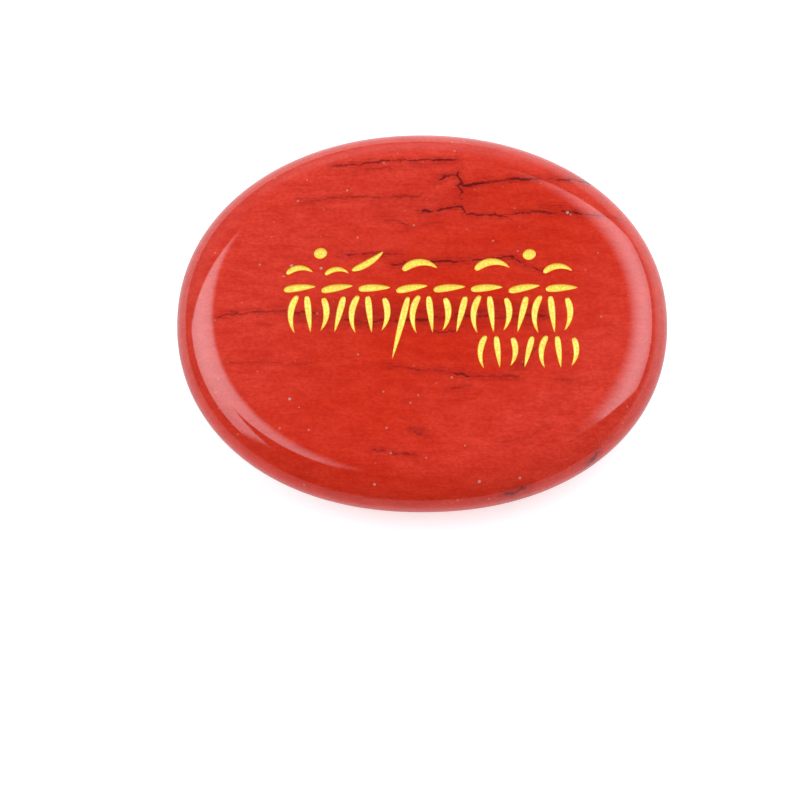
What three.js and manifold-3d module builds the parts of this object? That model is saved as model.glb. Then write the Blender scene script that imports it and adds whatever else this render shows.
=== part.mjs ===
// Engraved palm stone: one polished oval, flat on both faces and rounded all round,
// with rows of shallow strokes cut in its upper face.
// Millimetres, +Z up. The origin is the middle of the underside, and X runs along the stone.

import * as THREE from 'three';
import { mergeVertices } from 'three/addons/utils/BufferGeometryUtils.js';
import Module from 'manifold-3d';

// The stone
const LENGTH = 45;
const WIDTH = 35.7;
const THICKNESS = 6.5;
const EDGE_REACH = 4;            // how far in from the rim the rounded edge begins
const RIM_BAND = 0.4;            // height of the upright band at the middle of the rim
const EDGE_RISE = (THICKNESS - RIM_BAND) / 2;
const OVAL_POWER = 2.12;         // 2 would be an ellipse, more is squarer
const SWELL = 0.0044;            // share by which the hand-ground outline swells and dips
const SWELL_LOBES = 3;
const SWELL_TURN = THREE.MathUtils.degToRad(86);
const OUTLINE_STEPS = 84;
const EDGE_STEPS = 7;

// The strokes: each is an arc of a circle, full near its start and drawn out to its end
const CUT_DEPTH = 0.3;
const CUT_CLEARANCE = 0.5;       // how far the cutting shape stands above the face
const STROKE_STEPS = 10;
const ROWS_LEFT = -12.5;         // left end of the rows
const ROWS_LINE = 2.33;          // middle line of the row of bars

const BAR = { length: 2.9, turn: -12, width: 0.72, blunt: 0.35, taper: 0.7 };
const BLADE = { length: 3.5, width: 0.62, blunt: 0.3, taper: 0.8 };
const LOW_BLADE = { length: 3, width: 0.58, blunt: 0.3, taper: 0.8 };
const ARCH = { heading: 4, length: 3.3, turn: -94, width: 0.7, blunt: 0.35, taper: 0.75 };
const FLICK = { heading: 32, length: 3.4, turn: 26, width: 0.66, blunt: 0.45, taper: 0.7 };
const BEAD = { heading: 15, length: 1.2, turn: 0, width: 1.05, blunt: 0.5, taper: 0.5 };

const BAR_COUNT = 8;
const BAR_PITCH = 3.42;
const BAR_START = 1.3;
const BAR_HEADING = 7;
const BAR_SWAY = 4;
const BAR_BEAT = 2.4;            // radians of sway from one bar to the next

const BLADE_PITCH = 1.39;
const BLADE_PERIOD = 4;          // blades from one turn of the wave to the next
const BLADE_HEADING = -94;
const BLADE_SWAY = 10;
const BLADE_BEND = 62;
const BLADE_STRETCH = 0.07;
const BLADE_ROW = { count: 19, x: 0.75, y: -2.5, stroke: BLADE };
const LOW_ROW = { count: 7, x: 18, y: -6.05, stroke: LOW_BLADE };
const LONG_BLADE = 7;            // place in its row of the one blade that runs on down
const LONG_BLADE_MORE = 2.6;

const UPPER_MARKS = [
  { mark: ARCH, x: 1.3, y: 1.65, size: 0.8 },
  { mark: BEAD, x: 3.2, y: 3.3, size: 1 },
  { mark: ARCH, x: 4.7, y: 1.55, size: 0.72 },
  { mark: FLICK, x: 7.55, y: 2.5, size: 1 },
  { mark: ARCH, x: 12.3, y: 2.1, size: 1.06 },
  { mark: ARCH, x: 18.9, y: 2.15, size: 1.06 },
  { mark: BEAD, x: 22.3, y: 3.2, size: 1 },
  { mark: ARCH, x: 24.9, y: 1.8, size: 0.88 },
];

const JASPER = new THREE.MeshStandardMaterial({ color: 0xc93420, roughness: 0.08, metalness: 0 });

const wasm = await Module();
wasm.setup();

// A closed mesh with shared corners becomes a solid that can be cut.
function solidOf(geometry) {
  const bare = geometry.clone();
  bare.deleteAttribute('normal');
  bare.deleteAttribute('uv');
  const merged = mergeVertices(bare);
  const vertProperties = new Float32Array(merged.attributes.position.array);
  const triVerts = new Uint32Array(merged.index.array);
  return new wasm.Manifold(new wasm.Mesh({ numProp: 3, vertProperties, triVerts }));
}

// A solid goes back to a geometry.
function geometryOf(solid) {
  const mesh = solid.getMesh();
  const geometry = new THREE.BufferGeometry();
  geometry.setAttribute('position', new THREE.BufferAttribute(mesh.vertProperties, 3));
  geometry.setIndex(new THREE.BufferAttribute(mesh.triVerts, 1));
  geometry.computeVertexNormals();
  return geometry;
}

// One point of the flat face's outline: a superellipse whose radius swells a little.
function faceOutlinePoint(angle) {
  const along = Math.abs(Math.cos(angle)) / (LENGTH / 2 - EDGE_REACH);
  const across = Math.abs(Math.sin(angle)) / (WIDTH / 2 - EDGE_REACH);
  const radius = (along ** OVAL_POWER + across ** OVAL_POWER) ** (-1 / OVAL_POWER);
  const swollen = radius * (1 + SWELL * Math.cos(SWELL_LOBES * angle + SWELL_TURN));
  return new THREE.Vector2(swollen * Math.cos(angle), swollen * Math.sin(angle));
}

// The flat face's outline, once round.
function faceOutline() {
  return Array.from({ length: OUTLINE_STEPS }, (_, step) => (
    faceOutlinePoint((2 * Math.PI * step) / OUTLINE_STEPS)
  ));
}

// The whole oval: the face's outline with its edge rounded as a quarter of an ellipse above and
// below the band, brought to its full length and width and set down on the origin.
function ovalBody() {
  const geometry = new THREE.ExtrudeGeometry(new THREE.Shape(faceOutline()), {
    depth: RIM_BAND,
    bevelThickness: EDGE_RISE,
    bevelSize: EDGE_REACH,
    bevelSegments: EDGE_STEPS,
  });
  geometry.center();
  const size = geometry.boundingBox.getSize(new THREE.Vector3());
  geometry.scale(LENGTH / size.x, WIDTH / size.y, THICKNESS / size.z);
  geometry.translate(0, 0, THICKNESS / 2);
  return geometry;
}

// A point on a stroke's middle line, which starts at the origin and turns evenly as it goes.
// The chord to it heads halfway between the two headings, and is the arc times sin(h) / h.
function strokeMiddle(stroke, share) {
  const start = THREE.MathUtils.degToRad(stroke.heading - stroke.turn / 2);
  const halfTurn = (THREE.MathUtils.degToRad(stroke.turn) * share) / 2;
  const shortening = halfTurn === 0 ? 1 : Math.sin(halfTurn) / halfTurn;
  const chord = stroke.length * share * shortening;
  return {
    heading: start + 2 * halfTurn,
    x: chord * Math.cos(start + halfTurn),
    y: chord * Math.sin(start + halfTurn),
  };
}

// Half the stroke's width: a power of the way in, times a power of the way left, full at its peak.
function strokeHalfWidth(stroke, share) {
  const peak = stroke.blunt / (stroke.blunt + stroke.taper);
  const most = peak ** stroke.blunt * (1 - peak) ** stroke.taper;
  return ((stroke.width / 2) * share ** stroke.blunt * (1 - share) ** stroke.taper) / most;
}

// The stroke's outline, with its mean point at x, y of the rows.
function strokeOutline(stroke) {
  const left = [];
  const right = [];
  const mean = new THREE.Vector2();
  for (let step = 0; step <= STROKE_STEPS; step += 1) {
    const share = (1 - Math.cos((Math.PI * step) / STROKE_STEPS)) / 2;
    const middle = strokeMiddle(stroke, share);
    const half = strokeHalfWidth(stroke, share);
    const side = new THREE.Vector2(-Math.sin(middle.heading), Math.cos(middle.heading)).multiplyScalar(half);
    const point = new THREE.Vector2(middle.x, middle.y);
    mean.addScaledVector(point, 1 / (STROKE_STEPS + 1));
    left.push(point.clone().add(side));
    if (step > 0 && step < STROKE_STEPS) {
      right.unshift(point.clone().sub(side));
    }
  }
  const place = new THREE.Vector2(ROWS_LEFT + stroke.x, ROWS_LINE + stroke.y).sub(mean);
  return [...left, ...right].map((point) => point.add(place));
}

// A row of short bars that sway a little about one heading.
function barRow() {
  return Array.from({ length: BAR_COUNT }, (_, place) => ({
    ...BAR,
    x: BAR_START + BAR_PITCH * place,
    y: 0,
    heading: BAR_HEADING + BAR_SWAY * Math.sin(BAR_BEAT * place),
  }));
}

// A row of curved blades whose lean and bend follow one wave. One blade may run on down.
function bladeRow(row, longPlace = -1) {
  return Array.from({ length: row.count }, (_, place) => {
    const wave = (2 * Math.PI * place) / BLADE_PERIOD;
    const more = place === longPlace ? LONG_BLADE_MORE : 0;
    return {
      ...row.stroke,
      x: row.x + BLADE_PITCH * place,
      y: row.y - more / 2,
      heading: BLADE_HEADING + BLADE_SWAY * Math.sin(wave),
      length: row.stroke.length * (1 + BLADE_STRETCH * Math.cos(wave)) + more,
      turn: BLADE_BEND * Math.cos(wave),
    };
  });
}

// The loose marks above the bars: arches, beads and one flick, each at its own size.
function upperMarks() {
  return UPPER_MARKS.map(({ mark, x, y, size }) => ({
    ...mark,
    x,
    y,
    length: mark.length * size,
    width: mark.width * size,
  }));
}

// The solid that a stroke takes out of the face.
function strokeCut(stroke) {
  const geometry = new THREE.ExtrudeGeometry(new THREE.Shape(strokeOutline(stroke)), {
    depth: CUT_DEPTH + CUT_CLEARANCE,
    bevelEnabled: false,
  });
  geometry.translate(0, 0, THICKNESS - CUT_DEPTH);
  return solidOf(geometry);
}

// The stone with all its strokes cut.
function stone() {
  const strokes = [
    ...barRow(),
    ...bladeRow(BLADE_ROW, LONG_BLADE),
    ...bladeRow(LOW_ROW),
    ...upperMarks(),
  ];
  const cut = strokes.reduce((body, stroke) => body.subtract(strokeCut(stroke)), solidOf(ovalBody()));
  const mesh = new THREE.Mesh(geometryOf(cut), JASPER);
  mesh.name = 'stone';
  return mesh;
}

const palmStone = new THREE.Group();
palmStone.add(stone());

export default palmStone;
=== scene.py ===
"""Engraved palm stone: a polished oval of red jasper with rows of gilded strokes.

The origin is the middle of the underside, X runs along the stone, Y across it towards the upper
marks, and Z up out of the engraved face. Shapes are worked out in millimetres and made in metres.
"""

import math

import bpy
import bmesh
import numpy as np
from mathutils import Matrix, Vector
from mathutils.geometry import delaunay_2d_cdt


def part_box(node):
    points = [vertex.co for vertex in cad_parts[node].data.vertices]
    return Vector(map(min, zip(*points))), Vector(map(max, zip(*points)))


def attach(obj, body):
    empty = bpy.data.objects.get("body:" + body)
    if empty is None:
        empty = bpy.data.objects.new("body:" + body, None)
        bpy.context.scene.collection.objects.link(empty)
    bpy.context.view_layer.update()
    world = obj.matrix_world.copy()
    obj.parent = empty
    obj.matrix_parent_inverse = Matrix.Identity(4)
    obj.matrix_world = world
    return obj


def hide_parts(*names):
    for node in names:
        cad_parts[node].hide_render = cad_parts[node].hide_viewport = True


MM = 0.001

# The oval's edge, as in the solid. Its length, width and thickness come from the frame.
EDGE_REACH = 4
RIM_BAND = 0.4
OVAL_POWER = 2.12
SWELL = 0.0044
SWELL_LOBES = 3
SWELL_TURN = math.radians(86)
OUTLINE_STEPS = 512
EDGE_STEPS = 26
FACE_MARGIN = 0.2         # width of the narrow flat ring just inside the rounded edge
FACE_GRID = 1
FACE_CLEAR = 0.6          # how far the face's inner points stay from every line

# The rows of strokes, as in the solid
ROWS_LEFT = -12.5
ROWS_LINE = 2.33
BAR = dict(length=2.9, turn=-12, width=0.72, blunt=0.35, taper=0.7)
BLADE = dict(length=3.5, width=0.62, blunt=0.3, taper=0.8)
LOW_BLADE = dict(length=3, width=0.58, blunt=0.3, taper=0.8)
ARCH = dict(heading=4, length=3.3, turn=-94, width=0.7, blunt=0.35, taper=0.75)
FLICK = dict(heading=32, length=3.4, turn=26, width=0.66, blunt=0.45, taper=0.7)
BEAD = dict(heading=15, length=1.2, turn=0, width=1.05, blunt=0.5, taper=0.5)
BAR_COUNT = 8
BAR_PITCH = 3.42
BAR_START = 1.3
BAR_HEADING = 7
BAR_SWAY = 4
BAR_BEAT = 2.4
BLADE_PITCH = 1.39
BLADE_PERIOD = 4
BLADE_HEADING = -94
BLADE_SWAY = 10
BLADE_BEND = 62
BLADE_STRETCH = 0.07
BLADE_ROW = dict(count=19, x=0.75, y=-2.5, stroke=BLADE)
LOW_ROW = dict(count=7, x=18, y=-6.05, stroke=LOW_BLADE)
LONG_BLADE = 7
LONG_BLADE_MORE = 2.6
UPPER_MARKS = [
    dict(mark=ARCH, x=1.3, y=1.65, size=0.8),
    dict(mark=BEAD, x=3.2, y=3.3, size=1),
    dict(mark=ARCH, x=4.7, y=1.55, size=0.72),
    dict(mark=FLICK, x=7.55, y=2.5, size=1),
    dict(mark=ARCH, x=12.3, y=2.1, size=1.06),
    dict(mark=ARCH, x=18.9, y=2.15, size=1.06),
    dict(mark=BEAD, x=22.3, y=3.2, size=1),
    dict(mark=ARCH, x=24.9, y=1.8, size=0.88),
]
STROKE_STEPS = 40
GROOVE_STEPS = 14
GROOVE_DEPTH = 0.3
GROOVE_POWER = 4
TIP_WIDTH = 0.05          # half-width at which a groove has lost half its depth

# The gold paint: how much of the groove's width and depth it takes
PAINT_WIDTH = 0.995
PAINT_EDGE = 0.08
PAINT_DISH = 0.42
PAINT_FLOOR = 0.97

# The veins, each along a path over the face in millimetres, with its half-width and darkness
VEINS = [
    dict(path=[(-8.4, 14.0), (-6.4, 14.1), (-3.4, 14.4), (-0.9, 14.6), (1.2, 14.6)], width=0.08, dark=0.85),
    dict(path=[(0.6, 14.5), (3.3, 14.7)], width=0.1, dark=1.0),
    dict(path=[(-6.4, 13.5), (-2.0, 13.9), (0.3, 14.0)], width=0.05, dark=0.35),
    dict(path=[(1.4, 12.6), (2.2, 13.0), (3.3, 13.1)], width=0.1, dark=1.0),
    dict(path=[(3.5, 13.8), (3.2, 13.1), (3.7, 12.4), (3.2, 12.0), (3.7, 11.5), (3.4, 11.0)], width=0.09, dark=0.95),
    dict(path=[(3.2, 12.1), (5.5, 12.4), (8.6, 12.7), (11.0, 12.75)], width=0.1, dark=1.0),
    dict(path=[(11.6, 12.75), (13.4, 12.9), (17.0, 13.1)], width=0.1, dark=1.0),
    dict(path=[(-0.3, 9.6), (1.3, 9.7)], width=0.1, dark=1.0),
    dict(path=[(1.0, 9.6), (2.0, 9.9), (3.6, 10.1), (4.1, 9.3)], width=0.09, dark=0.9),
    dict(path=[(0.3, 8.5), (1.6, 8.5)], width=0.05, dark=0.4),
    dict(path=[(4.0, 9.3), (5.9, 9.4), (7.9, 9.1)], width=0.11, dark=0.85),
    dict(path=[(8.0, 9.3), (9.9, 9.6), (12.6, 9.5)], width=0.08, dark=0.8),
    dict(path=[(12.5, 9.6), (14.9, 9.5)], width=0.1, dark=1.0),
    dict(path=[(14.7, 9.5), (16.4, 9.4), (18.4, 9.0)], width=0.07, dark=0.6),
    dict(path=[(10.8, 10.3), (13.2, 10.3)], width=0.06, dark=0.5),
    dict(path=[(-11.3, 10.6), (-7.8, 10.9), (-4.0, 11.0), (-1.2, 11.1)], width=0.07, dark=0.5),
    dict(path=[(-1.8, 11.0), (-0.2, 11.1)], width=0.11, dark=0.75),
    dict(path=[(-3.8, 8.8), (-2.0, 8.8), (-1.1, 8.2)], width=0.05, dark=0.45),
    dict(path=[(-7.5, 5.4), (-4.7, 5.7), (-2.0, 5.5)], width=0.07, dark=0.7),
    dict(path=[(-3.0, 4.6), (0.6, 4.8), (6.5, 5.1), (8.1, 5.3), (9.8, 4.3), (11.2, 4.0)], width=0.085, dark=0.95),
    dict(path=[(-19.1, -0.6), (-17.3, -0.2), (-15.8, 0.1), (-12.5, 0.1), (-9.4, -0.1)], width=0.09, dark=0.62),
    dict(path=[(-14.6, -1.1), (-13.6, -1.1)], width=0.06, dark=0.5),
    dict(path=[(-7.2, -0.8), (-1.8, -0.8)], width=0.09, dark=0.8),
    dict(path=[(-2.0, -0.8), (2.8, -0.4)], width=0.12, dark=0.85),
    dict(path=[(2.9, -0.3), (7.7, -0.4), (11.5, -0.2)], width=0.1, dark=0.7),
    dict(path=[(0.6, -1.8), (1.7, -1.8), (3.4, -1.6)], width=0.08, dark=0.6),
    dict(path=[(-18.0, -4.7), (-13.9, -4.8), (-9.8, -4.8)], width=0.06, dark=0.3),
    dict(path=[(-3.4, -5.2), (-1.0, -5.3), (2.5, -5.6)], width=0.07, dark=0.55),
    dict(path=[(2.4, -5.6), (3.3, -5.9), (4.5, -6.1)], width=0.09, dark=0.95),
    dict(path=[(4.3, -6.1), (6.6, -6.0), (9.0, -6.1)], width=0.08, dark=0.45),
    dict(path=[(9.1, -5.3), (9.6, -4.2), (10.6, -3.2)], width=0.09, dark=0.5),
    dict(path=[(12.4, -6.3), (13.9, -6.6)], width=0.07, dark=0.45),
    dict(path=[(2.3, -7.2), (4.2, -7.0)], width=0.09, dark=0.5),
    dict(path=[(-4.8, -13.0), (-3.0, -13.1)], width=0.1, dark=0.65),
    dict(path=[(-3.4, -13.1), (-0.5, -13.5)], width=0.07, dark=0.6),
    dict(path=[(-0.9, -11.4), (0.4, -11.5)], width=0.09, dark=0.55),
    dict(path=[(6.5, -12.6), (9.8, -11.7), (11.7, -10.3)], width=0.05, dark=0.3),
    dict(path=[(15.3, -13.7), (16.4, -12.6)], width=0.13, dark=0.8),
    dict(path=[(7.5, -16.7), (8.6, -16.3), (9.9, -15.9)], width=0.12, dark=0.9),
]
SMUDGES = [
    dict(path=[(-3.5, 10.4), (4.5, 10.9)], width=1.8, dark=0.16),
    dict(path=[(-12.5, 0.2), (-6.0, -0.2)], width=1.0, dark=0.45),
    dict(path=[(-8.5, -0.2), (10.5, 0.0)], width=1.6, dark=0.57),
    dict(path=[(3.0, -5.9), (9.0, -6.0)], width=0.5, dark=0.35),
    dict(path=[(8.3, -5.6), (10.2, -3.4)], width=0.8, dark=0.45),
    dict(path=[(-1.6, -10.8), (0.6, -11.2)], width=0.5, dark=0.45),
]

# The jasper's deep middle: its centre, how far it turns from X, and how far it reaches
DEEP_MIDDLE = (1.45, -0.8, 6.5)
DEEP_TURN = math.radians(47)
DEEP_REACH = (33, 13, 15)

# The camera, as a lens of 36 mm film looks down on the stone
FILM = 36
LENS = 244.35
LOOK_DOWN = math.radians(75)
CAMERA_AWAY = 498.5
CAMERA_LEFT = 2.03
CAMERA_BELOW = 7.145
LAMP_TINT = (0.93, 1.0, 1.08)


def face_outline(angle, length, width):
    """The flat face's outline: a superellipse of half-axes a and b, r = (|cos/a|^p + |sin/b|^p)^(-1/p),
    times 1 + swell * cos(lobes * angle + turn)."""
    along = np.abs(np.cos(angle)) / (length / 2 - EDGE_REACH)
    across = np.abs(np.sin(angle)) / (width / 2 - EDGE_REACH)
    radius = (along**OVAL_POWER + across**OVAL_POWER) ** (-1 / OVAL_POWER)
    radius = radius * (1 + SWELL * np.cos(SWELL_LOBES * angle + SWELL_TURN))
    return np.stack([radius * np.cos(angle), radius * np.sin(angle)], axis=-1)


def oval_rings(size):
    """The rounded edge as rings from the face to the underside. Each outline point is moved out along
    its normal by reach * cos(tilt) and stands half a band and rise * sin(tilt) from the middle height,
    with tilt from 90 to -90 degrees. The first and last rings lie flat, a margin further in."""
    length, width, thickness = size
    angle = np.linspace(0, 2 * np.pi, OUTLINE_STEPS, endpoint=False)
    step = angle[1] / 8
    outline = face_outline(angle, length, width)
    along = face_outline(angle + step, length, width) - face_outline(angle - step, length, width)
    outward = np.stack([along[:, 1], -along[:, 0]], axis=-1)
    outward /= np.linalg.norm(outward, axis=1, keepdims=True)
    rim = outline + EDGE_REACH * outward
    fit = np.array([length, width]) / (rim.max(axis=0) - rim.min(axis=0))
    centre = (rim.max(axis=0) + rim.min(axis=0)) / 2
    tilt = np.linspace(np.pi / 2, 0, EDGE_STEPS)
    out = np.concatenate([[-FACE_MARGIN], EDGE_REACH * np.cos(tilt)])
    up = np.concatenate([[thickness], thickness / 2 + RIM_BAND / 2 + (thickness - RIM_BAND) / 2 * np.sin(tilt)])
    out = np.concatenate([out, out[::-1]])
    height = np.concatenate([up, thickness - up[::-1]])
    flat = (outline[None] + out[:, None, None] * outward[None] - centre) * fit
    return np.concatenate([flat, np.broadcast_to(height[:, None, None], flat.shape[:2] + (1,))], axis=2)


def grid_faces(rows, columns, around, first=0):
    """Quads between neighbouring rows and columns of a grid of points. With around, the last column
    joins the first."""
    row = np.arange(rows - 1)[:, None]
    column = np.arange(columns if around else columns - 1)[None, :]
    after = (column + 1) % columns
    corners = [
        row * columns + column,
        (row + 1) * columns + column,
        (row + 1) * columns + after,
        row * columns + after,
    ]
    return (np.stack(corners, axis=-1).reshape(-1, 4) + first).tolist()


def bar_row():
    """A row of short bars that sway a little about one heading."""
    return [
        dict(BAR, x=BAR_START + BAR_PITCH * place, y=0, heading=BAR_HEADING + BAR_SWAY * math.sin(BAR_BEAT * place))
        for place in range(BAR_COUNT)
    ]


def blade_row(row, long_place=-1):
    """A row of curved blades whose lean and bend follow one wave. One blade may run on down."""
    strokes = []
    for place in range(row["count"]):
        wave = 2 * math.pi * place / BLADE_PERIOD
        more = LONG_BLADE_MORE if place == long_place else 0
        strokes.append(dict(
            row["stroke"],
            x=row["x"] + BLADE_PITCH * place,
            y=row["y"] - more / 2,
            heading=BLADE_HEADING + BLADE_SWAY * math.sin(wave),
            length=row["stroke"]["length"] * (1 + BLADE_STRETCH * math.cos(wave)) + more,
            turn=BLADE_BEND * math.cos(wave),
        ))
    return strokes


def upper_marks():
    """The loose marks above the bars, each at its own size."""
    return [
        dict(m["mark"], x=m["x"], y=m["y"], length=m["mark"]["length"] * m["size"], width=m["mark"]["width"] * m["size"])
        for m in UPPER_MARKS
    ]


def stroke_lines(stroke):
    """A stroke's middle line, its sideways direction and its half-width. The line turns evenly, so the
    chord to a point heads halfway and is the arc times sin(h) / h. The half-width is
    share^blunt * (1 - share)^taper, brought to half the stroke's width at its peak."""
    share = (1 - np.cos(np.linspace(0, np.pi, STROKE_STEPS + 1))) / 2
    start = math.radians(stroke["heading"] - stroke["turn"] / 2)
    half_turn = math.radians(stroke["turn"]) * share / 2
    chord = stroke["length"] * share * np.sinc(half_turn / np.pi)
    middle = np.stack([chord * np.cos(start + half_turn), chord * np.sin(start + half_turn)], axis=-1)
    heading = start + 2 * half_turn
    side = np.stack([-np.sin(heading), np.cos(heading)], axis=-1)
    peak = stroke["blunt"] / (stroke["blunt"] + stroke["taper"])
    most = peak ** stroke["blunt"] * (1 - peak) ** stroke["taper"]
    half = stroke["width"] / 2 * share ** stroke["blunt"] * (1 - share) ** stroke["taper"] / most
    place = np.array([ROWS_LEFT + stroke["x"], ROWS_LINE + stroke["y"]])
    return middle - middle.mean(axis=0) + place, side, half


def stroke_loop(stroke):
    """The stroke's outline once round, anticlockwise: along its right side, and back along its left."""
    middle, side, half = stroke_lines(stroke)
    right = middle - side * half[:, None]
    left = middle + side * half[:, None]
    return np.concatenate([right, left[-2:0:-1]])


def stroke_surface(stroke, across, depth, top):
    """A surface along a stroke. Column by column it lies at the shares of the half-width in across and
    the shares of the full depth in depth, and towards a tip the depth fades as
    half-width / (half-width + tip width)."""
    middle, side, half = stroke_lines(stroke)
    fade = GROOVE_DEPTH * half / (half + TIP_WIDTH)
    flat = middle[:, None] + side[:, None] * (half[:, None] * across[None])[..., None]
    height = top - fade[:, None] * depth[None]
    return np.concatenate([flat, height[..., None]], axis=2)


def groove_profile(across):
    """The cut's depth across its width, as a share of the full depth: (1 - |u|^p)^(1/p)."""
    return (1 - np.abs(across) ** GROOVE_POWER) ** (1 / GROOVE_POWER)


def groove_surface(stroke, top):
    """The floor and walls of one cut, which end on the stroke's outline."""
    across = -np.cos(np.linspace(0, np.pi, GROOVE_STEPS + 1))
    across[0], across[-1] = -1, 1
    return stroke_surface(stroke, across, groove_profile(across), top)


def paint_surface(stroke, top):
    """The paint in one cut as a closed skin. Across the top its depth is edge + dish * (1 - u^2), and
    back along the bottom it follows the cut a hair above it."""
    across = -PAINT_WIDTH * np.cos(np.linspace(0, np.pi, GROOVE_STEPS + 1))
    upper = PAINT_EDGE + PAINT_DISH * (1 - (across / PAINT_WIDTH) ** 2)
    lower = PAINT_FLOOR * groove_profile(across)
    return stroke_surface(stroke, np.concatenate([across, across[::-1]]), np.concatenate([upper, lower[::-1]]), top)


def flat_region(ring, holes):
    """Triangles of a flat region between a ring and its holes, with a lattice of inner points that
    stays clear of every line. Returns the points and the triangles."""
    loops = [ring] + holes
    lines = np.concatenate(loops)
    low, high = ring.min(axis=0), ring.max(axis=0)
    lattice = np.stack(np.meshgrid(np.arange(low[0], high[0], FACE_GRID), np.arange(low[1], high[1], FACE_GRID)), axis=-1)
    lattice[1::2, :, 0] += FACE_GRID / 2
    lattice = lattice.reshape(-1, 2)
    nearest = np.sqrt(((lattice[:, None] - lines[None]) ** 2).sum(axis=2)).min(axis=1)
    points = np.concatenate([lines, lattice[nearest > FACE_CLEAR]])
    ends = np.cumsum([len(loop) for loop in loops])
    outlines = [list(range(end - len(loop), end)) for loop, end in zip(loops, ends)]
    inside_only = 1
    made = delaunay_2d_cdt([Vector(p) for p in points], [], outlines, inside_only, 1e-7)
    triangles = [list(face) for face, within in zip(made[2], made[5]) if list(within) == [0]]
    return np.array([tuple(p) for p in made[0]]), triangles


def at_height(flat, height):
    """Flat points set at one height."""
    return np.concatenate([flat, np.full((len(flat), 1), height)], axis=1)


def joined(parts):
    """Several sets of points and faces as one."""
    points, faces, count = [], [], 0
    for some_points, some_faces in parts:
        points.append(some_points)
        faces += [[corner + count for corner in face] for face in some_faces]
        count += len(some_points)
    return np.concatenate(points), faces


def make_piece(name, parts, sharp):
    """A piece from its parts, in metres: points that lie together are joined, faces turned outwards,
    and edges sharper than the angle kept crisp."""
    points, faces = joined(parts)
    mesh = bpy.data.meshes.new(name)
    mesh.from_pydata((points * MM).tolist(), [], faces)
    work = bmesh.new()
    work.from_mesh(mesh)
    bmesh.ops.remove_doubles(work, verts=work.verts, dist=1e-4 * MM)
    bmesh.ops.dissolve_degenerate(work, edges=work.edges, dist=1e-4 * MM)
    bmesh.ops.recalc_face_normals(work, faces=work.faces)
    work.to_mesh(mesh)
    work.free()
    mesh.polygons.foreach_set("use_smooth", np.ones(len(mesh.polygons), bool))
    mesh.set_sharp_from_angle(angle=sharp)
    piece = bpy.data.objects.new(name, mesh)
    bpy.context.scene.collection.objects.link(piece)
    return piece


def stone_piece(size, strokes):
    """The polished oval: its rounded edge, both flat faces and every cut."""
    top = size[2]
    rings = oval_rings(size)
    holes = [stroke_loop(stroke) for stroke in strokes]
    upper, upper_faces = flat_region(rings[0, :, :2], holes)
    under, under_faces = flat_region(rings[-1, :, :2], [])
    parts = [
        (rings.reshape(-1, 3), grid_faces(len(rings), OUTLINE_STEPS, True)),
        (at_height(upper, top), upper_faces),
        (at_height(under, 0), under_faces),
    ]
    for stroke in strokes:
        cut = groove_surface(stroke, top)
        parts.append((cut.reshape(-1, 3), grid_faces(cut.shape[0], cut.shape[1], False)))
    return make_piece("polished_stone", parts, math.radians(40))


def gilding_piece(size, strokes):
    """The gold paint in every cut, each a closed skin."""
    parts = []
    for stroke in strokes:
        paint = paint_surface(stroke, size[2])
        parts.append((paint.reshape(-1, 3), grid_faces(paint.shape[0], paint.shape[1], True)))
    return make_piece("gilding", parts, math.radians(50))


def node(tree, kind, inputs=None, **settings):
    """A new node with its settings made and its inputs given as values or as other nodes' outputs."""
    made = tree.nodes.new(kind)
    for name, value in settings.items():
        setattr(made, name, value)
    for name, value in (inputs or {}).items():
        if isinstance(value, bpy.types.NodeSocket):
            tree.links.new(value, made.inputs[name])
        else:
            made.inputs[name].default_value = value
    return made


def sums(tree, operation, *values):
    """One step of arithmetic on numbers."""
    return node(tree, "ShaderNodeMath", dict(enumerate(values)), operation=operation).outputs[0]


def vectors(tree, operation, *values):
    """One step of arithmetic on places, which gives a place or a number."""
    made = node(tree, "ShaderNodeVectorMath", dict(enumerate(values)), operation=operation)
    return made.outputs["Value" if operation in ("DOT_PRODUCT", "LENGTH", "DISTANCE") else "Vector"]


def ramp(tree, value, low, high, to_low=0.0, to_high=1.0):
    """A smooth step of a value from one range to another."""
    inputs = {"Value": value, "From Min": low, "From Max": high, "To Min": to_low, "To Max": to_high}
    return node(tree, "ShaderNodeMapRange", inputs, interpolation_type="SMOOTHSTEP").outputs["Result"]


def mixed(tree, factor, first, second, blend="MIX"):
    """Two colours mixed by a factor."""
    made = node(tree, "ShaderNodeMix", {0: factor, 6: first, 7: second}, data_type="RGBA", blend_type=blend)
    return made.outputs[2]


def grain(tree, place, scale, detail=3.0, rough=0.55):
    """Soft noise between 0 and 1 at a scale per millimetre."""
    inputs = {"Vector": place, "Scale": scale, "Detail": detail, "Roughness": rough}
    return node(tree, "ShaderNodeTexNoise", inputs).outputs["Fac"]


def new_group(name, inputs, outputs):
    """An empty node group with its named sockets. Returns its tree and its inner inputs and outputs."""
    tree = bpy.data.node_groups.new(name, "ShaderNodeTree")
    for label, kind in inputs.items():
        tree.interface.new_socket(name=label, in_out="INPUT", socket_type=kind)
    for label, kind in outputs.items():
        tree.interface.new_socket(name=label, in_out="OUTPUT", socket_type=kind)
    return tree, tree.nodes.new("NodeGroupInput"), tree.nodes.new("NodeGroupOutput")


def placed(tree, group, **inputs):
    """A node group placed in a tree with its own values."""
    made = node(tree, "ShaderNodeGroup", node_tree=group)
    for label, value in inputs.items():
        socket = made.inputs[label.replace("_", " ")]
        if isinstance(value, bpy.types.NodeSocket):
            tree.links.new(value, socket)
        else:
            socket.default_value = value
    return made


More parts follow.
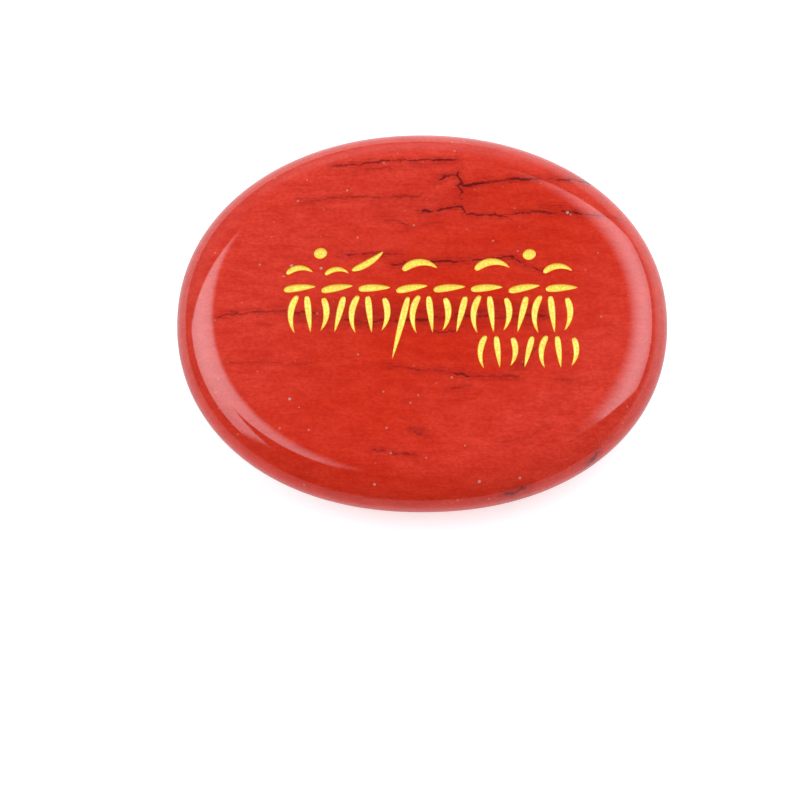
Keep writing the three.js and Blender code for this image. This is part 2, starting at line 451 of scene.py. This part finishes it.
def stretch_group():
    """How far a place lies from one straight stretch of a vein: the place's reach from the start, less
    the stretch times the share of it that the reach covers, held between 0 and 1."""
    names = {"Place": "NodeSocketVector", "Start": "NodeSocketVector", "Way": "NodeSocketVector"}
    tree, into, out = new_group("stretch", names, {"Away": "NodeSocketFloat"})
    way = into.outputs["Way"]
    reach = vectors(tree, "SUBTRACT", into.outputs["Place"], into.outputs["Start"])
    share = sums(tree, "DIVIDE", vectors(tree, "DOT_PRODUCT", reach, way), vectors(tree, "DOT_PRODUCT", way, way))
    held = node(tree, "ShaderNodeClamp", {"Value": share}).outputs[0]
    step = node(tree, "ShaderNodeVectorMath", {0: way, "Scale": held}, operation="SCALE").outputs["Vector"]
    tree.links.new(vectors(tree, "DISTANCE", reach, step), out.inputs["Away"])
    return tree


def speck_group():
    """Small round specks in space: a cell's centre is marked where the cell's own number is under the
    share, and its mask is a smooth step of the distance to that centre."""
    names = {"Place": "NodeSocketVector", "Spacing": "NodeSocketFloat", "Radius": "NodeSocketFloat",
             "Share": "NodeSocketFloat"}
    tree, into, out = new_group("specks", names, {"Mask": "NodeSocketFloat"})
    scale = sums(tree, "DIVIDE", 1.0, into.outputs["Spacing"])
    cells = node(tree, "ShaderNodeTexVoronoi", {"Vector": into.outputs["Place"], "Scale": scale})
    number = node(tree, "ShaderNodeSeparateColor", {0: cells.outputs["Color"]})
    away = sums(tree, "MULTIPLY", cells.outputs["Distance"], into.outputs["Spacing"])
    size = sums(tree, "MULTIPLY", into.outputs["Radius"], ramp(tree, number.outputs["Green"], 0.0, 1.0, 0.55, 1.3))
    mask = ramp(tree, sums(tree, "DIVIDE", away, size), 1.0, 0.5)
    chosen = sums(tree, "LESS_THAN", number.outputs["Red"], into.outputs["Share"])
    tree.links.new(sums(tree, "MULTIPLY", mask, chosen), out.inputs["Mask"])
    return tree


def new_material(name):
    """A material with only its shader. Returns it with its tree and the shader."""
    material = bpy.data.materials.new(name)
    material.use_nodes = True
    return material, material.node_tree, material.node_tree.nodes["Principled BSDF"]


def in_millimetres(tree, stretch=(1, 1, 1)):
    """The place on the object in millimetres, each way divided by its stretch."""
    where = node(tree, "ShaderNodeTexCoord").outputs["Object"]
    scale = tuple(1 / MM / s for s in stretch)
    return node(tree, "ShaderNodeMapping", {"Vector": where, "Scale": scale}).outputs["Vector"]


def shaken(tree, place, amounts):
    """A place shaken by noise: for each scale per millimetre and amount, noise less a half, times the amount."""
    for scale, amount in amounts:
        noise = node(tree, "ShaderNodeTexNoise", {"Vector": place, "Scale": scale, "Detail": 3.0, "Roughness": 0.6})
        centred = vectors(tree, "SUBTRACT", noise.outputs["Color"], (0.5, 0.5, 0.5))
        shake = vectors(tree, "MULTIPLY", centred, (amount * 0.5, amount, amount))
        place = vectors(tree, "ADD", place, shake)
    return place


def stepped(tree, place, cell, amount):
    """A place moved across the veins by steps, one amount to each small cell, so that veins break and jump."""
    cells = node(tree, "ShaderNodeTexVoronoi", {"Vector": in_millimetres(tree, cell), "Scale": 1.0})
    number = node(tree, "ShaderNodeSeparateColor", {0: cells.outputs["Color"]}).outputs["Red"]
    step = sums(tree, "MULTIPLY", sums(tree, "SUBTRACT", number, 0.5), amount)
    return vectors(tree, "ADD", place, node(tree, "ShaderNodeCombineXYZ", {"Y": step}).outputs[0])


def through_the_stone(tree, place, top):
    """The place on the face that the same sheet of vein comes from: sheets lean a little as they go down."""
    depth = sums(tree, "SUBTRACT", top, node(tree, "ShaderNodeSeparateXYZ", {0: place}).outputs["Z"])
    lean = node(tree, "ShaderNodeVectorMath", {0: (0.15, 0.05, 0), "Scale": depth}, operation="SCALE").outputs["Vector"]
    return vectors(tree, "MULTIPLY", vectors(tree, "ADD", place, lean), (1, 1, 0))


def least(tree, values, operation="MINIMUM"):
    """The least of several values at each place, or the greatest."""
    found = values[0]
    for value in values[1:]:
        found = sums(tree, operation, found, value)
    return found


def away_from(tree, stretch, place, path):
    """How far a place lies from a path."""
    away = []
    for start, end in zip(path[:-1], path[1:]):
        way = (end[0] - start[0], end[1] - start[1], 0)
        away.append(placed(tree, stretch, Place=place, Start=(*start, 0), Way=way).outputs[0])
    return least(tree, away)


def path_mask(tree, stretch, place, line, swell, inner):
    """A line's mask, a smooth step of its distance over its width, which shrinks to both ends of its path.
    Returns it with the distance."""
    away = away_from(tree, stretch, place, line["path"])
    width = sums(tree, "MULTIPLY", swell, line["width"])
    for end in (line["path"][0], line["path"][-1]):
        width = sums(tree, "MULTIPLY", width, ramp(tree, vectors(tree, "DISTANCE", place, (*end, 0)), -0.2, 0.7))
    mask = ramp(tree, sums(tree, "DIVIDE", away, sums(tree, "ADD", width, 1e-3)), 1.4, inner)
    return sums(tree, "MULTIPLY", mask, line["dark"]), away


def vein_masks(tree, stretch, place):
    """All the veins: their dark lines, which swell, thin and fade along the way, and the soft nearness
    around them, where hairlines run beside."""
    swell = ramp(tree, grain(tree, in_millimetres(tree, (1.1, 0.9, 0.9)), 1.0, 3.0), 0.3, 0.68, 0.65, 1.6)
    fade = ramp(tree, grain(tree, in_millimetres(tree, (2.4, 1.5, 1.5)), 1.0, 3.0), 0.32, 0.5, 0.5, 0.88)
    masks, nearness = [], []
    for line in VEINS:
        mask, away = path_mask(tree, stretch, place, line, swell, 0.5)
        masks.append(mask)
        nearness.append(sums(tree, "MULTIPLY", ramp(tree, away, 0.7, 0.05), line["dark"]))
    return sums(tree, "MULTIPLY", least(tree, masks, "MAXIMUM"), fade), least(tree, nearness, "MAXIMUM")


def smudge_mask(tree, stretch, place, streaks):
    """The soft dark bands and patches, streaked along the stone."""
    masks = [path_mask(tree, stretch, place, line, 1.0, 0.0)[0] for line in SMUDGES]
    return sums(tree, "MULTIPLY", least(tree, masks, "MAXIMUM"), ramp(tree, streaks, 0.3, 0.65, 0.4, 1.0))


def tinted(tree, colour, noise, deep, pale):
    """A colour times a tint, which goes from deep to pale with the noise."""
    return mixed(tree, 1.0, colour, mixed(tree, ramp(tree, noise, 0.3, 0.7), deep, pale), "MULTIPLY")


def red_ground(tree, streaks):
    """The jasper's red: deep along a slanting middle, pinker with the distance from the middle and in clouds,
    with streaks along X, soft patches and a fine mottle. A painted shade deepens the red on the near edge."""
    clouds = grain(tree, in_millimetres(tree, (9, 4, 4)), 1.0, 3.0)
    threads = grain(tree, in_millimetres(tree, (2.6, 0.18, 0.18)), 1.0, 3.0, 0.7)
    patches = grain(tree, in_millimetres(tree, (2.4, 0.9, 0.9)), 1.0, 3.0, 0.6)
    mottle = grain(tree, in_millimetres(tree, (0.34, 0.22, 0.22)), 1.0, 2.0, 0.6)
    reach = vectors(tree, "SUBTRACT", in_millimetres(tree), DEEP_MIDDLE)
    turned = node(tree, "ShaderNodeMapping", {"Vector": reach, "Rotation": (0, 0, -DEEP_TURN)}).outputs["Vector"]
    away = ramp(tree, vectors(tree, "LENGTH", vectors(tree, "DIVIDE", turned, DEEP_REACH)), 0.0, 1.3)
    across = node(tree, "ShaderNodeSeparateXYZ", {0: in_millimetres(tree)}).outputs["Y"]
    # Painted shade: the near rounded edge faces away from the lamps, and its red is made deeper here
    near = ramp(tree, across, -13.0, -17.5, 0.0, 0.45)
    pink = sums(tree, "SUBTRACT", sums(tree, "ADD", away, ramp(tree, clouds, 0.35, 0.65, -0.14, 0.18)), near)
    colour = mixed(tree, pink, (0.56, 0.0236, 0.008, 1), (0.605, 0.0378, 0.0208, 1))
    colour = mixed(tree, ramp(tree, streaks, 0.5, 0.75, 0.0, 0.4), colour, (0.44, 0.018, 0.010, 1))
    colour = mixed(tree, ramp(tree, threads, 0.5, 0.8, 0.0, 0.4), colour, (0.40, 0.017, 0.011, 1))
    colour = tinted(tree, colour, patches, (0.95, 0.84, 0.82, 1), (1.05, 1.16, 1.18, 1))
    return tinted(tree, colour, mottle, (0.945, 0.82, 0.8, 1), (1.055, 1.18, 1.2, 1))


def jasper(top):
    """Red jasper: a brick red ground, dark veins with hairlines beside them, a dark band, pale specks and
    a few dark pits, under a glassy polish."""
    material, tree, shader = new_material("jasper")
    stretch, specks = stretch_group(), speck_group()
    place = in_millimetres(tree)
    sheet = through_the_stone(tree, place, top)
    streaks = grain(tree, in_millimetres(tree, (4, 0.5, 0.5)), 1.0, 4.0, 0.65)
    colour = red_ground(tree, streaks)

    jagged = stepped(tree, shaken(tree, sheet, [(0.5, 0.45), (2.2, 0.25), (7.0, 0.07)]), (0.9, 2.0, 2.0), 0.2)
    lines, nearness = vein_masks(tree, stretch, jagged)
    smudge = smudge_mask(tree, stretch, shaken(tree, sheet, [(0.25, 2.0), (1.2, 0.8)]), streaks)
    hair = grain(tree, in_millimetres(tree, (3.2, 0.3, 0.3)), 1.0, 3.0, 0.6)
    hair = ramp(tree, sums(tree, "ABSOLUTE", sums(tree, "SUBTRACT", hair, 0.5)), 0.025, 0.0)
    hair = sums(tree, "MULTIPLY", hair, ramp(tree, sums(tree, "MAXIMUM", nearness, smudge), 0.0, 0.6, 0.04, 0.5))

    soft = sums(tree, "MAXIMUM", smudge, sums(tree, "MULTIPLY", nearness, 0.22))
    colour = mixed(tree, soft, colour, (0.23, 0.009, 0.007, 1))
    colour = mixed(tree, sums(tree, "MAXIMUM", lines, hair), colour, (0.085, 0.004, 0.006, 1))
    bright = placed(tree, specks, Place=place, Spacing=2.5, Radius=0.155, Share=0.55).outputs[0]
    faint = placed(tree, specks, Place=place, Spacing=1.2, Radius=0.11, Share=0.7).outputs[0]
    pits = placed(tree, specks, Place=vectors(tree, "ADD", place, (31, 7, 13)), Spacing=2.9, Radius=0.16, Share=0.3).outputs[0]
    pale = sums(tree, "MAXIMUM", sums(tree, "MULTIPLY", bright, 0.62), sums(tree, "MULTIPLY", faint, 0.35))
    colour = mixed(tree, pale, colour, (0.44, 0.36, 0.29, 1))
    colour = mixed(tree, sums(tree, "MULTIPLY", pits, 0.6), colour, (0.10, 0.05, 0.05, 1))
    tree.links.new(colour, shader.inputs["Base Color"])

    rough = sums(tree, "ADD", sums(tree, "MULTIPLY", lines, 0.1), ramp(tree, streaks, 0.3, 0.8, 0.03, 0.06))
    tree.links.new(rough, shader.inputs["Roughness"])
    shader.inputs["IOR"].default_value = 1.54
    return material


def gold_paint(top):
    """Gold paint: bright yellow with a pale grain, and amber at the edges of the cuts, partly thin paint and partly
    painted shade.
    """
    material, tree, shader = new_material("gold_paint")
    place = in_millimetres(tree)
    fine = grain(tree, place, 6.0, 4.0, 0.6)
    broad = grain(tree, place, 1.6, 2.0)
    depth = sums(tree, "SUBTRACT", top, node(tree, "ShaderNodeSeparateXYZ", {0: place}).outputs["Z"])
    colour = mixed(tree, ramp(tree, fine, 0.35, 0.7), (0.90, 0.56, 0.035, 1), (1.0, 0.88, 0.17, 1))
    colour = mixed(tree, ramp(tree, broad, 0.5, 0.75, 0.0, 0.3), colour, (0.86, 0.43, 0.02, 1))
    # Amber where the paint is thinnest at the cuts' edges: partly the thin paint, partly painted shade along the
    # groove's rim
    colour = mixed(tree, ramp(tree, depth, 0.085, 0.03), colour, (0.82, 0.34, 0.012, 1))
    tree.links.new(colour, shader.inputs["Base Color"])
    tree.links.new(ramp(tree, fine, 0.3, 0.7, 0.45, 0.32), shader.inputs["Roughness"])
    bump = node(tree, "ShaderNodeBump", {"Height": fine, "Strength": 0.4, "Distance": 0.02 * MM})
    tree.links.new(bump.outputs["Normal"], shader.inputs["Normal"])
    shader.inputs["Metallic"].default_value = 0.12
    return material


def direction(azimuth, elevation):
    """A unit direction. Azimuth 0 is the far side, 90 the right and 180 the camera's side."""
    a, e = math.radians(azimuth), math.radians(elevation)
    return Vector((math.sin(a) * math.cos(e), math.cos(a) * math.cos(e), math.sin(e)))


def lamp_glow(tree, lean, soft_left, soft_top, hot, spread, dim, notch, corner):
    """How bright a softbox is over its cloth, 0 to 1. With u and v from -1 to 1 across and up it, the
    cloth ends at |u + lean * v| = 1 and |v| = 1, fades over its top, and dims with the distance from
    its hot place. A notch is a dark wedge from the left edge, between two slopes from its tip."""
    cloth = node(tree, "ShaderNodeSeparateXYZ", {0: node(tree, "ShaderNodeTexCoord").outputs["UV"]})
    u = sums(tree, "MULTIPLY_ADD", cloth.outputs["X"], -2.0, 1.0)
    v = sums(tree, "MULTIPLY_ADD", cloth.outputs["Y"], 2.0, -1.0)
    right = sums(tree, "MULTIPLY_ADD", v, lean, u)
    edges = [ramp(tree, u, -1.0, soft_left - 1.0), ramp(tree, right, 1.0, 0.9)]
    edges += [ramp(tree, v, -1.0, -0.96), ramp(tree, v, 1.0, 1.0 - soft_top)]
    place = node(tree, "ShaderNodeCombineXYZ", {"X": u, "Y": v}).outputs[0]
    edges.append(ramp(tree, vectors(tree, "DISTANCE", place, (*hot, 0)), 0.0, spread, 1.0, dim))
    if notch:
        inside = sums(tree, "SUBTRACT", notch["u"], u)
        lower = sums(tree, "ADD", sums(tree, "SUBTRACT", v, notch["v"]), sums(tree, "MULTIPLY", inside, notch["below"]))
        upper = sums(tree, "SUBTRACT", sums(tree, "MULTIPLY", inside, notch["above"]), sums(tree, "SUBTRACT", v, notch["v"]))
        edges.append(ramp(tree, sums(tree, "MINIMUM", lower, upper), 0.08, 0.0))
    if corner:
        reach = sums(tree, "MULTIPLY_ADD", u, corner[0], sums(tree, "MULTIPLY", v, corner[1]))
        edges.append(ramp(tree, reach, corner[2] + 0.06, corner[2] - 0.06, 0.3, 1.0))
    glow = edges[0]
    for edge in edges[1:]:
        glow = sums(tree, "MULTIPLY", glow, edge)
    return glow


def softbox(name, azimuth, elevation, width, height, roll, brightness, away, seen_from, lean=0.0, soft_left=0.06, soft_top=0.06,
            hot=(0, 0), spread=1.4, dim=1.0, notch=None, corner=None):
    """A rectangular lamp that faces a place on the stone. Its width and height are per unit of distance,
    and its roll turns it clockwise as seen from the stone. Power is pi * area * brightness."""
    towards = direction(azimuth, elevation)
    data = bpy.data.lights.new(name, "AREA")
    data.color = LAMP_TINT
    data.shape = "RECTANGLE"
    data.size = width * away
    data.size_y = height * away
    data.energy = math.pi * data.size * data.size_y * brightness
    data.use_nodes = True
    glow = lamp_glow(data.node_tree, lean, soft_left, soft_top, hot, spread, dim, notch, corner)
    data.node_tree.links.new(glow, data.node_tree.nodes["Emission"].inputs["Strength"])
    lamp = bpy.data.objects.new(name, data)
    right = towards.cross(Vector((0, 0, 1))).normalized()
    up = right.cross(towards)
    turn = math.radians(roll)
    across = right * math.cos(turn) - up * math.sin(turn)
    above = right * math.sin(turn) + up * math.cos(turn)
    lamp.matrix_world = Matrix((-across, above, towards)).transposed().to_4x4()
    lamp.location = Vector(seen_from) * MM + towards * away
    bpy.context.scene.collection.objects.link(lamp)
    return lamp


def pale_floor():
    """A wide pale floor. The camera sees it brighter than it lights the stone, as a white cut-out."""
    mesh = bpy.data.meshes.new("floor")
    half = 4.0
    mesh.from_pydata([(-half, -half, 0), (half, -half, 0), (half, half, 0), (-half, half, 0)], [], [(0, 1, 2, 3)])
    floor = bpy.data.objects.new("floor", mesh)
    bpy.context.scene.collection.objects.link(floor)
    material, tree, shader = new_material("pale_floor")
    shader.inputs["Base Color"].default_value = (0.5, 0.5, 0.5, 1)
    shader.inputs["Roughness"].default_value = 0.45
    shader.inputs["Emission Color"].default_value = (1, 1, 1, 1)
    light = node(tree, "ShaderNodeLightPath").outputs
    across = node(tree, "ShaderNodeSeparateXYZ", {0: in_millimetres(tree)}).outputs["Y"]
    # The floor glows, more towards the far side: a glow that the stone's rounded edge reflects
    behind = ramp(tree, across, -32, 25, 0.06, 0.68)
    # Near the stone's front the floor glows for diffuse rays only: a glow standing in for bounced light, lighting the
    # near edge from below
    before = ramp(tree, across, -22, -4, 1.6, -0.35)
    glow = sums(tree, "MULTIPLY_ADD", light["Is Camera Ray"], 0.47, behind)
    glow = sums(tree, "MULTIPLY_ADD", light["Is Diffuse Ray"], before, glow)
    tree.links.new(glow, shader.inputs["Emission Strength"])
    floor.data.materials.append(material)


def dim_room():
    """A dim room: faint on the far side, with a low glow at the right, and white for the camera."""
    world = bpy.data.worlds.new("studio")
    bpy.context.scene.world = world
    world.use_nodes = True
    tree = world.node_tree
    where = node(tree, "ShaderNodeTexCoord").outputs["Generated"]
    toward = node(tree, "ShaderNodeSeparateXYZ", {0: where}).outputs
    far = sums(tree, "MULTIPLY", ramp(tree, toward["Y"], -0.3, 0.6, 0.02, 0.26), ramp(tree, toward["Z"], 0.75, 0.5, 0.15, 1.0))
    side = ramp(tree, vectors(tree, "DOT_PRODUCT", where, (0.92, 0.38, 0)), 0.3, 0.9, 0.0, 1.05)
    low = sums(tree, "MULTIPLY", side, ramp(tree, toward["Z"], 0.35, 0.05))
    seen = node(tree, "ShaderNodeLightPath").outputs["Is Camera Ray"]
    glow = sums(tree, "MAXIMUM", sums(tree, "ADD", far, low), seen)
    tree.links.new(glow, tree.nodes["Background"].inputs["Strength"])
    tree.nodes["Background"].inputs["Color"].default_value = (1, 1, 1, 1)


def studio():
    """Two softboxes, left and right, a dim one behind, a pale floor and a dim room."""
    notch = dict(u=-0.2, v=-0.01, below=0.27, above=0.95)
    softbox("left_softbox", -94.24, 53.98, 1.129, 1.101, 10.6, 4.65, 0.6, (-20, 0, 5),
            lean=-0.147, soft_left=0.32, soft_top=0.42, hot=(0.42, -0.07), spread=1.35, dim=0.55, notch=notch)
    softbox("right_softbox", 65.34, 50.94, 1.198, 1.087, -15.25, 8.35, 0.6, (20, 0, 5),
            lean=0.018, soft_top=1.49, hot=(0.18, 1.5), spread=3.32, dim=0.14, corner=(0.74, 0.67, 0.86))
    softbox("far_softbox", -6, 20, 0.85, 0.55, 0, 0.5, 0.9, (0, 17, 5), soft_top=0.8, dim=0.4, spread=1.3)
    fill = softbox("fill", 0, 60, 1, 1, 0, 0.62, 0.6, (0, 0, 5))
    fill.visible_glossy = False
    pale_floor()
    dim_room()


def photo_camera(thickness):
    """The camera: it looks down at the stone's middle, moved left and down in its own frame, unturned."""
    data = bpy.data.cameras.new("camera")
    data.sensor_width = FILM
    data.lens = LENS
    camera = bpy.data.objects.new("camera", data)
    right = Vector((1, 0, 0))
    up = Vector((0, math.sin(LOOK_DOWN), math.cos(LOOK_DOWN)))
    back = Vector((0, -math.cos(LOOK_DOWN), math.sin(LOOK_DOWN)))
    middle = Vector((0, 0, thickness / 2))
    camera.matrix_world = Matrix((right, up, back)).transposed().to_4x4()
    camera.location = (middle - right * CAMERA_LEFT - up * CAMERA_BELOW + back * CAMERA_AWAY) * MM
    bpy.context.scene.collection.objects.link(camera)
    bpy.context.scene.camera = camera


def make_stone():
    """Both pieces, with their materials, riding where the solid stands."""
    low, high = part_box("stone")
    size = [(b - a) / MM for a, b in zip(low, high)]
    strokes = bar_row() + blade_row(BLADE_ROW, LONG_BLADE) + blade_row(LOW_ROW) + upper_marks()
    stone = stone_piece(size, strokes)
    stone.data.materials.append(jasper(size[2]))
    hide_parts("stone")
    gilding = gilding_piece(size, strokes)
    gilding.data.materials.append(gold_paint(size[2]))
    for piece in (stone, gilding):
        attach(piece, "root")
    return size


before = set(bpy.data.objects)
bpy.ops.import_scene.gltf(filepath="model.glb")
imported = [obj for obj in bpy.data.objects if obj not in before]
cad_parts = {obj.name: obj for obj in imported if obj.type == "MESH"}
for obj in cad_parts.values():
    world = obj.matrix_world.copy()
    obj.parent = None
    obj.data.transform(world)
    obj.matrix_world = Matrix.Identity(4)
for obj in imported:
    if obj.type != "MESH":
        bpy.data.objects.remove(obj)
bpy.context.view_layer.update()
size = make_stone()
photo_camera(size[2])
studio()
bpy.context.scene.view_settings.view_transform = "Standard"
